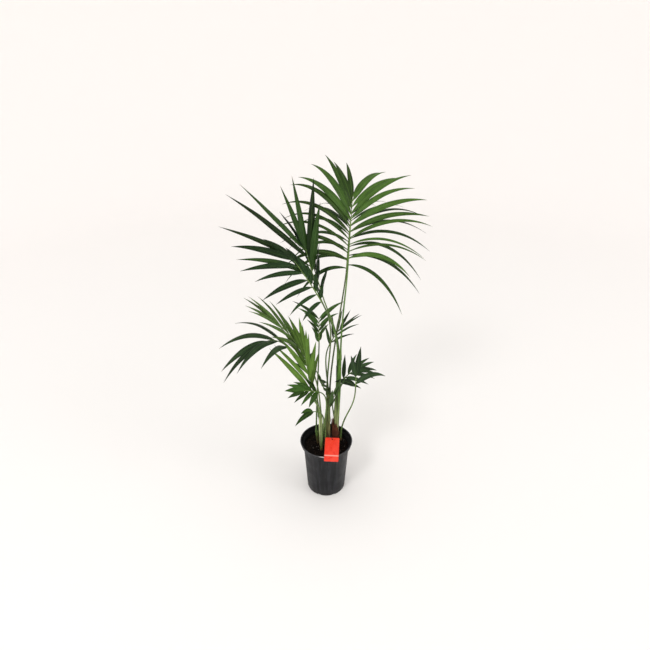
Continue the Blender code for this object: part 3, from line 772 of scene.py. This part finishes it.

# %% [markdown]
# ## Stems
#
# What looks like a stem on a young kentia is a roll of leaf bases, each wrapped round the next. So a
# stem here has a margin that winds slowly round it, where the outer sheath ends in a thin step, and
# shallow ribs along it. It closes over the feet of its stalks with a low dome. Dark and pale streaks
# run along it, strong enough to be partly painted highlights, and each stem climbs from the colour of
# its foot to that of its top. The pale foot of the right stem and the whitish top of the pale stem
# are partly painted highlight.

# %% Stems
# A roll of leaf bases: its foot, top and radii in metres, and its colours at the foot and top, the
# palest of which are partly painted highlight.
Stem = namedtuple("Stem", "name foot top radii foot_colour top_colour")
STEMS = (
    Stem("stem_right", (0.038, 0.020), (0.048, 0.020, 0.600), (0.0125, 0.0092),
         (142, 152, 104), (76, 108, 44)),
    Stem("stem_middle", (0.007, 0.000), (0.008, 0.008, 0.450), (0.0098, 0.0080),
         (96, 86, 56), (96, 112, 62)),
    Stem("stem_pale", (-0.019, 0.000), (-0.023, -0.002, 0.350), (0.0085, 0.0078),
         (142, 150, 106), (178, 194, 136)),
    Stem("stem_left", (-0.034, 0.013), (-0.037, 0.010, 0.262), (0.0062, 0.0060),
         (78, 84, 48), (92, 116, 58)),
)
STEM_ROWS, STEM_AROUND = 56, 36
DOME_STEPS, DOME_HEIGHT, DOME_TURN = 6, 0.006, 14.2
MARGIN, MARGIN_WIND = 0.0011, 2.2
STEM_FLARE, STEM_FLARE_LENGTH = 0.10, 0.06


def stem_points(stem):
    foot, top = Vector((*stem.foot, SOIL_TOP - SUNK)), Vector(stem.top)
    handle = UP * (top.z - foot.z) * 0.4
    return [foot, foot + handle, top - handle, top]


def make_stem(stem, turn_of_margin):
    """Limb with a winding sheath margin, closed by a dome over the feet of its stalks."""
    path = sampled(stem_points(stem), STEM_ROWS)
    path += [path[-1] + UP * DOME_HEIGHT * sin(radians(90 * step / DOME_STEPS))
             for step in range(1, DOME_STEPS + 1)]
    rows = len(path) - 1

    def radius_at(turn, share):
        row = round(share * rows)
        up = min(row / STEM_ROWS, 1.0)
        plain = stem.radii[0] + (stem.radii[1] - stem.radii[0]) * up
        flare = 1 + STEM_FLARE * exp(-(up / STEM_FLARE_LENGTH)**2)
        margin = ((turn + turn_of_margin + MARGIN_WIND * up) / tau) % 1.0
        ribs = 0.014 * cos(9 * turn + 3 * up) + 0.010 * cos(23 * turn)
        closing = cos(radians(DOME_TURN * max(row - STEM_ROWS, 0)))
        return (plain * flare * (1 + ribs) + MARGIN * (margin - 0.6)) * closing

    shape = bmesh.new()
    rolled(shape, path, Vector((0, 1, 0)), radius_at, STEM_AROUND)
    return shape


def stem_finish(stem):
    """Sheath skin: one colour runs into another up the stem, with veins, scars and a brown foot."""
    finish = Finish("skin_" + stem.name, 0.2)
    height = finish.axes(finish.place())[2]
    cloud = finish.noise(70, 4, (1, 1, 0.12))
    blotch = finish.noise(26, 4, (1, 1, 0.5))
    streaks_and_sheen = finish.noise(230, 3, (1, 1, 0.05))
    scars = finish.ramp(finish.noise(90, 3, (1, 1, 0.35)), 0.60, 0.70)
    veins = finish.on_map()[0].zigzag(40)
    green_from = SOIL_TOP + 0.04
    green_at = green_from + 0.65 * (stem.top[2] - green_from)
    climb = finish.ramp(height + blotch * 0.08, green_from + 0.04, green_at + 0.04)
    # The streaks are partly real and partly painted highlight along the sheaths.
    light = finish.ramp(cloud, 0.3, 0.7, 0.7, 1.15) * finish.ramp(streaks_and_sheen, 0.38, 0.62, 0.45, 1.5)
    colour = finish.mix(climb, stem.foot_colour, stem.top_colour)
    colour = finish.lit(colour, light * (0.92 + veins * 0.12))
    colour = finish.mix(scars * 0.5, colour, (98, 76, 48))
    foot = 1 - finish.ramp(height + cloud * 0.03, SOIL_TOP + 0.018, SOIL_TOP + 0.045)
    return finish.put(Base_Color=finish.mix(foot * 0.75, colour, (84, 62, 42)),
                      Roughness=finish.ramp(cloud, 0.3, 0.7, 0.42, 0.62),
                      Normal=finish.bump(veins * 0.25 + cloud * 0.6 + scars * 0.4, 0.0006))


for number, stem in enumerate(STEMS):
    skin = add_piece("skin_" + stem.name, make_stem(stem, 1.7 * number), stem_finish(stem))
    dress(skin, "stems", stem.name)
print(len(STEMS), "stems, the tallest", max(stem.top[2] for stem in STEMS), "m high")

# %% [markdown]
# The right stem still wears the brown, fibrous rag of a dead leaf base. It is a sleeve with a slit
# and a torn top edge, bent from a grid that gets a thickness, and the loose fibres round it are thin
# rolled limbs. Noise and a fixed seed make the tears.

# %% Rag of the dead leaf base
RAG_COLUMNS, RAG_ROWS, RAG_SKIN = 40, 16, 0.0006
RAG_FROM, RAG_WRAP, RAG_HIGHEST = 200, 322, 215
RAG_HEIGHT, RAG_SWING, RAG_TEAR = 0.082, 0.044, 0.008
RAG_RADIUS, RAG_OPENING, CREASE = 0.0146, 0.0030, 0.0007
STRANDS, STRAND_RADIUS, STRAND_CENTRE, STRAND_OUT = 60, 0.00035, (0.0385, 0.020), 0.0152


def ragged_heights(turns, chance):
    """How high the torn edge stands at each column of the sleeve."""
    return [RAG_HEIGHT + RAG_SWING * cos(turn - radians(RAG_HIGHEST))
            + chance.uniform(-RAG_TEAR, RAG_TEAR) + 0.030 * noise.noise((column * 0.31, 2.0, 0.0))
            for column, turn in enumerate(turns)]


def add_strand(shape, chance):
    """A loose fibre that rises along the sleeve and leans out."""
    turn = chance.uniform(radians(110), radians(320))
    away = Vector((cos(turn), sin(turn), 0))
    low = chance.uniform(0.015, 0.110)
    start = Vector((*STRAND_CENTRE, SOIL_TOP + low)) + away * STRAND_OUT
    lean = away * chance.uniform(0.001, 0.010)
    length = chance.uniform(0.012, 0.034)
    route = [start, start + UP * length * 0.6, start + UP * length + lean]
    rolled(shape, sampled(route, 6), Vector((0.3, 1, 0)),
           lambda turn, share: STRAND_RADIUS * (1.1 - share), 5)


def make_rag():
    """Sleeve with a slit and a torn top edge, with loose fibres round it."""
    shape = bmesh.new()
    shape.loops.layers.uv.new("UVMap")
    chance = random.Random("rag")
    turns = [radians(RAG_FROM + RAG_WRAP * column / RAG_COLUMNS)
             for column in range(RAG_COLUMNS + 1)]
    heights = ragged_heights(turns, chance)
    centre_line = stem_points(STEMS[0])
    for corner in unit_grid(shape, RAG_COLUMNS, RAG_ROWS):
        share, column = corner.co.y + 0.5, round((corner.co.x + 0.5) * RAG_COLUMNS)
        turn = turns[column]
        height = SUNK + heights[column] * share
        centre = bezier(centre_line, 0.83 * height / 0.4)
        crease = CREASE * noise.noise((9 * cos(turn), 9 * sin(turn), 30 * height))
        opening = RAG_OPENING * share**4 * (1 + sin(3 * turn))
        radius = RAG_RADIUS + 0.0005 * share + opening + crease
        corner.co = (centre.x - 0.003 * share + radius * cos(turn),
                     centre.y + radius * sin(turn), SOIL_TOP - SUNK + height)
    bmesh.ops.solidify(shape, geom=shape.faces[:], thickness=RAG_SKIN)
    for strand in range(STRANDS):
        add_strand(shape, chance)
    return shape


def rag_finish():
    finish = Finish("dry_fibre", 0.15)
    fibres = finish.noise(900, 3, (1, 1, 0.04))
    colour = finish.mix(finish.ramp(fibres, 0.35, 0.65), (44, 24, 20), (118, 70, 48))
    damp = finish.ramp(finish.noise(70, 3), 0.4, 0.7)
    return finish.put(Base_Color=finish.mix(damp * 0.5, colour, (72, 34, 30)), Roughness=0.9,
                      Normal=finish.bump(fibres, 0.0010))


rag = add_piece("rag_of_dead_leaf_base", make_rag(), rag_finish())
dress(rag, "stems")
print("the rag reaches", round(max(corner.co.z for corner in rag.data.vertices), 3), "m")

# %% [markdown]
# ## Pot
#
# A nursery pot is blown thin from recycled plastic: a plain wall that widens upwards, a shoulder, and
# a collar that leans out to a rolled lip. One outline spun round Z gives all of it, and a small bevel
# on every hard turn catches the light as moulded edges do. Blocks cut the drain slots through the
# lower edge. The finish is charcoal with a fine grain, faint streaks down the wall that are partly a
# painted reflection, a lip that is scuffed pale and painted paler still as a highlight, brightest at
# one spot in front, painted shade on the inner wall, and dust from watering near the foot.

# %% Cut one shape out of another, and soften hard edges
def cut_out(piece, tool):
    """Takes a tool's shape out of a piece, with a Boolean modifier that is applied at once."""
    cutter = add_piece("cutter", tool, piece.data.materials[0])
    cut = piece.modifiers.new("cut", "BOOLEAN")
    cut.operation = "DIFFERENCE"
    cut.object = cutter
    graph = bpy.context.evaluated_depsgraph_get()
    cut_mesh = bpy.data.meshes.new_from_object(piece.evaluated_get(graph))
    piece.modifiers.clear()
    piece.data = cut_mesh
    bpy.data.objects.remove(cutter, do_unlink=True)


def hard_edges(shape, sharp):
    """The edges that turn by more than an angle, given in radians."""
    return [edge for edge in shape.edges if edge.is_manifold and edge.calc_face_angle() > sharp]


def soften(shape, edges, width, steps=2):
    bmesh.ops.bevel(shape, geom=edges, affect="EDGES", offset=width, offset_type="OFFSET",
                    segments=steps, profile=0.5, material=-1, clamp_overlap=True)


print("a cutter is removed once it has cut")

# %% Pot
POT_SIDES = 128
POT_OUTLINE = (
    (0.0, 0.0), (0.0745, 0.0), (0.0770, 0.0009), (0.0775, 0.0030), (0.0915, 0.2090), (0.0932, 0.2106),
    (0.1000, 0.2140), (0.1014, 0.2156), (0.1036, 0.2262), (0.1048, 0.2275), (0.1050, 0.2290),
    (0.1038, 0.2300), (0.1018, 0.2298), (0.1008, 0.2285), (0.0984, 0.2180), (0.0970, 0.2166),
    (0.0908, 0.2132), (0.0892, 0.2114), (0.0752, 0.0024), (0.0, 0.0024),
)
POT_RADIUS, POT_HEIGHT = [max(values) for values in zip(*POT_OUTLINE)]
SLOTS, SLOT_RADIUS, SLOT_SIZE = 8, 0.0775, (0.016, 0.014, 0.009, 1.0)


def make_pot(finish):
    shape = spun(POT_OUTLINE, POT_SIDES)
    soften(shape, hard_edges(shape, 0.45), 0.0005)
    pot = add_piece("pot_shell", shape, finish)
    blocks = bmesh.new()
    for slot in range(SLOTS):
        turn = Matrix.Rotation(tau * (slot + 0.5) / SLOTS, 4, "Z")
        block = Matrix.Translation((SLOT_RADIUS, 0, 0)) @ Matrix.Diagonal(SLOT_SIZE)
        bmesh.ops.create_cube(blocks, size=1.0, matrix=turn @ block)
    cut_out(pot, blocks)
    pot.data.set_sharp_from_angle(angle=radians(50))
    return pot


SHOULDER, LIP = (0.2095, 0.2135), (0.2262, 0.2290)
WALL_RADIUS, WALL_SLOPE, COLLAR_RADIUS = 0.0763, 0.067, 0.1008
# The spot where the painted highlight on the lip is brightest.
HIGHLIGHT_SPOT = (-0.012, -0.104, 0.229)


def pot_finish():
    """Charcoal plastic with painted shade and more roughness on the inner wall: the middle of the
    wall tells the two sides apart.
    """
    finish = Finish("charcoal_plastic", 0.18)
    height = finish.axes(finish.place())[2]
    collar, lip = finish.ramp(height, *SHOULDER), finish.ramp(height, *LIP)
    wall_middle = (WALL_RADIUS + WALL_SLOPE * height) * (1 - collar) + collar * COLLAR_RADIUS
    shaded_inside = 1 - finish.ramp(finish.from_axis() - wall_middle, -0.0004, 0.0004)
    grain = finish.noise(2200, 2)
    streaks_and_sheen = finish.noise(90, 4, (1, 1, 0.04))
    cloud = finish.noise(22, 4)
    scuffs = finish.ramp(finish.noise(150, 5, (1, 1, 0.3)), 0.60, 0.72)
    foot = 1 - finish.ramp(height + cloud * 0.03, 0.012, 0.060)
    from_spot = finish.node("ShaderNodeVectorMath", {"operation": "DISTANCE"},
                            {0: finish.place(), 1: HIGHLIGHT_SPOT}, "Value")
    painted_highlight = 1 - finish.ramp(from_spot, 0.004, 0.022)
    colour = finish.layered(
        # Streaks down the wall, partly real and partly a painted reflection of the glossy plastic.
        finish.mix(finish.ramp(streaks_and_sheen, 0.38, 0.62), (16, 17, 20), (36, 37, 41)),
        (finish.ramp(cloud, 0.35, 0.7) * 0.4, (23, 24, 27)),
        # Scuffs are real wear; the extra pale on the lip, the pale lip line and its brightest spot in
        # front are painted highlight.
        (scuffs * 0.30 + lip * scuffs * 0.4, (92, 91, 94)),
        (lip * 0.40, (98, 98, 101)),
        (lip * painted_highlight * 0.8, (200, 198, 198)),
        (foot * 0.25, (62, 60, 58)),
        # Painted shade: the inner wall is painted almost black.
        (shaded_inside * 0.85, (9, 8, 8)))
    wall_gloss = finish.ramp(cloud, 0.3, 0.7, 0.40, 0.55) + scuffs * 0.2 + shaded_inside * 0.5
    return finish.put(Base_Color=colour, Roughness=wall_gloss - lip * 0.24,
                      Normal=finish.bump(grain * 0.25 + streaks_and_sheen * 0.4 + scuffs * 0.3, 0.00025))


dress(make_pot(pot_finish()), "pot", "pot")
print("pot", round(2000 * POT_RADIUS), "mm wide and", round(1000 * POT_HEIGHT), "mm high")

# %% [markdown]
# ## Soil
#
# Potting soil is dark peat with crumbs, bark chips and a few white grains. The bed is a spun plug,
# because it has to meet the round wall, with its upper face cut fine and pushed up and down by noise.
# Chips and grains are small rough balls, squashed and turned at random from a fixed seed, half sunk
# in the bed. They are two more pieces, because each kind has its own finish.

# %% Soil bed
SOIL_RADIUS, SOIL_RINGS, SOIL_SIDES = 0.0888, 40, 110
SOIL_BELOW = [(0.0878, 0.19), (0.0755, 0.0028), (0.0, 0.0028)]
LUMPS = ((0.0040, 38), (0.0022, 110), (0.0012, 330))  # Their height, and how many in a metre.
MOUND, MOUND_WIDTH, MOUND_DEPTH, BED_DROP = 0.0035, 0.05, 0.035, 0.0015


def soil_height(x, y):
    """Height of the bed: a low mound round the stems, with lumps and crumbs."""
    lumps = sum(height * noise.noise(Vector((x, y, 0)) * scale) for height, scale in LUMPS)
    mound = MOUND * exp(-((x / MOUND_WIDTH)**2 + (y / MOUND_DEPTH)**2)) - BED_DROP
    return SOIL_TOP + lumps + mound


def make_soil():
    rings = [(SOIL_RADIUS * ring / SOIL_RINGS, SOIL_TOP) for ring in range(SOIL_RINGS + 1)]
    shape = spun(rings + SOIL_BELOW, SOIL_SIDES)
    for corner in shape.verts:
        if corner.co.z > 0.2:
            corner.co.z = soil_height(corner.co.x, corner.co.y)
    return shape


def soil_finish():
    finish = Finish("potting_soil", 0.05)
    cloud = finish.noise(260, 5)
    colour = finish.mix(finish.ramp(cloud, 0.35, 0.7), (8, 7, 6), (28, 22, 18))
    damp = finish.ramp(finish.noise(40, 3), 0.45, 0.6)
    return finish.put(Base_Color=finish.mix(damp * 0.6, colour, (14, 11, 10)), Roughness=0.95,
                      Normal=finish.bump(cloud, 0.003))


dress(add_piece("soil_bed", make_soil(), soil_finish()), "soil", "soil")
print("the soil bed lies", round(1000 * (POT_HEIGHT - SOIL_TOP)), "mm under the lip")

# %% Bark chips and white grains
BITS_REACH, BITS_TILT, BITS_ROUGHNESS = 0.080, 0.6, 0.22


def scatter(seed, count, sizes, flatness):
    """Rough squashed balls that lie half sunk in the bed, clear of the stems and the wall."""
    shape = bmesh.new()
    chance = random.Random(seed)
    while count:
        far, turn = BITS_REACH * sqrt(chance.random()), chance.uniform(0, tau)
        x, y = far * cos(turn), far * sin(turn)
        size = chance.uniform(*sizes)
        if any(dist((x, y), stem.foot) < stem.radii[0] + size for stem in STEMS):
            continue
        count -= 1
        place = Matrix.Translation((x, y, soil_height(x, y) + size * flatness * 0.2))
        swing = Matrix.Rotation(chance.uniform(0, tau), 4, "Z")
        tilt = Matrix.Rotation(chance.uniform(-BITS_TILT, BITS_TILT), 4, "X")
        form = Matrix.Diagonal((size, size * chance.uniform(0.4, 0.8), size * flatness, 1.0))
        ball = bmesh.ops.create_icosphere(shape, subdivisions=1, radius=1.0,
                                          matrix=place @ (swing @ tilt) @ form)
        for corner in ball["verts"]:
            corner.co += size * BITS_ROUGHNESS * noise.noise_vector(corner.co * 400)
    return shape


def bits_finish(name, dark, light):
    finish = Finish(name, 0.08)
    grain = finish.noise(500, 3, (1, 0.2, 1))
    return finish.put(Base_Color=finish.mix(finish.ramp(grain, 0.3, 0.7), dark, light),
                      Roughness=0.9, Normal=finish.bump(grain, 0.0012))


for name, count, sizes, flatness, *looks in (
        ("bark_chips", 330, (0.0022, 0.0058), 0.35, "bark", (14, 10, 8), (42, 31, 23)),
        ("white_grains", 46, (0.0009, 0.0017), 0.9, "perlite", (112, 108, 102), (164, 160, 152))):
    dress(add_piece(name, scatter(name, count, sizes, flatness), bits_finish(*looks)), "soil")
    print(count, name.replace("_", " "))

# %% [markdown]
# ## Hang tag and its loop
#
# The tag is a stiff plastic card with round corners and a punched hole. It leans out over the rim.
# The print of the real one is left off: the card has one plain pale stripe across it, and nothing
# more. We start from a flat block, round its corners, punch it and bevel its edges at the origin, and
# move the finished mesh into place last. The stripe and the worn border are drawn in the card's own
# axes, which a Mapping node of the kind Texture finds from object coordinates. The loop is a rolled
# limb again.

# %% Hang tag
TAG_WIDTH, TAG_LENGTH, TAG_THICKNESS, TAG_CORNER = 0.056, 0.097, 0.0012, 0.004
TAG_TOP, TAG_SLOPE, TAG_TURN = (0.0245, -0.035, 0.2685), 27.5, -4.0
HOLE_INSET, HOLE_RADIUS = 0.0065, 0.0024
tag_place = (Matrix.Translation(TAG_TOP) @ Matrix.Rotation(radians(TAG_TURN), 4, "Z")
             @ Matrix.Rotation(radians(TAG_SLOPE), 4, "X"))


def make_tag(finish):
    """Flat card with its upper edge through the origin, finished and then moved into place."""
    shape = bmesh.new()
    block = Matrix.Diagonal((TAG_WIDTH, TAG_LENGTH, TAG_THICKNESS, 1.0))
    bmesh.ops.create_cube(shape, size=1.0, matrix=Matrix.Translation((0, -TAG_LENGTH / 2, 0)) @ block)
    corners = [edge for edge in shape.edges if edge.verts[0].co.xy == edge.verts[1].co.xy]
    soften(shape, corners, TAG_CORNER, 8)
    tag = add_piece("hang_tag", shape, finish)
    punch = bmesh.new()
    bmesh.ops.create_cone(punch, cap_ends=True, segments=32, radius1=HOLE_RADIUS, radius2=HOLE_RADIUS,
                          depth=0.006, matrix=Matrix.Translation((0, -HOLE_INSET, 0)))
    cut_out(tag, punch)
    shape = bmesh.new()
    shape.from_mesh(tag.data)
    soften(shape, hard_edges(shape, 1.0), 0.00028)
    bmesh.ops.transform(shape, matrix=tag_place, verts=shape.verts)
    shape.to_mesh(tag.data)
    shape.free()
    tag.data.set_sharp_from_angle(angle=radians(40))
    return tag


def tag_finish():
    """Orange-red card with a worn border, one stripe and fine scratches."""
    finish = Finish("orange_red_card", 0.3, coat=0.05)
    turn = (radians(TAG_SLOPE), 0.0, radians(TAG_TURN))
    on_card = {"Vector": finish.place(), "Location": TAG_TOP, "Rotation": turn}
    x, y, _ = finish.axes(finish.node("ShaderNodeMapping", {"vector_type": "TEXTURE"}, on_card))
    border = finish.ramp(abs(x), 0.0242, 0.0275)
    stripe = 1 - finish.ramp(abs(y + 0.0735), 0.0022, 0.0026)
    cloud = finish.noise(60, 4)
    scratches = finish.ramp(finish.noise(420, 4, (1, 0.12, 1)), 0.63, 0.70)
    colour = finish.layered(
        finish.mix(finish.ramp(cloud, 0.3, 0.7), (226, 50, 28), (236, 62, 38)),
        (border * 0.35, (204, 52, 34)),
        (stripe * 0.55, (252, 190, 176)),
        (scratches * 0.10, (250, 140, 120)))
    return finish.put(Base_Color=colour,
                      Roughness=finish.ramp(cloud, 0.3, 0.7, 0.26, 0.4) + scratches * 0.2,
                      Normal=finish.bump(scratches * 0.3 + cloud * 0.2, 0.00015))


dress(make_tag(tag_finish()), "tag", "tag")
print("the tag is", 1000 * TAG_WIDTH, "by", 1000 * TAG_LENGTH, "mm")

# %% Elastic loop
ELASTIC_RADIUS, KNOT_RADIUS = 0.0007, 0.0016
LOOP_STAND, LOOP_CLEARANCE = 0.0075, 0.002
ROUND_FROM, ROUND_TO, ROUND_STEP = 215, -45, -26


def make_loop():
    """Thin round elastic from the hole, round the middle stem and back, with a small knot."""
    hole = tag_place @ Vector((0, -HOLE_INSET, 0))
    off = tag_place.to_3x3() @ Vector((0, 0, LOOP_STAND))
    stem = STEMS[1]
    reach = stem.radii[0] + LOOP_CLEARANCE
    stops = [hole - off, hole, hole + off]
    for turn in range(ROUND_FROM, ROUND_TO, ROUND_STEP):
        climb = off.z * (2 * (turn - ROUND_TO) / (ROUND_FROM - ROUND_TO) - 1)
        stops.append(Vector((stem.foot[0] + reach * cos(radians(turn)),
                             stem.foot[1] + reach * sin(radians(turn)), hole.z + climb)))
    path = []
    for before, here, after in zip(stops[-1:] + stops, stops, stops[1:] + stops[:1]):
        curve = [before.lerp(here, 0.5), here, here.lerp(after, 0.5)]
        path += sampled(curve, 6)[:-1]
    path.append(path[0].copy())
    shape = bmesh.new()
    rolled(shape, path, Vector((0, 0.2, 1)),
           lambda turn, share: ELASTIC_RADIUS * (1 + 0.08 * cos(4 * turn)), 10)
    bmesh.ops.create_uvsphere(shape, u_segments=12, v_segments=8, radius=KNOT_RADIUS,
                              matrix=Matrix.Translation(path[0]))
    return shape


def elastic_finish():
    finish = Finish("dark_elastic", 0.25)
    ridges = finish.on_map()[1].zigzag(1400)
    return finish.put(Base_Color=finish.mix(ridges, (34, 34, 34), (58, 56, 54)), Roughness=0.75,
                      Normal=finish.bump(ridges, 0.0002))


dress(add_piece("tag_elastic", make_loop(), elastic_finish()), "loop", "tag_loop")
print("the elastic is", round(2000 * ELASTIC_RADIUS, 1), "mm thick")
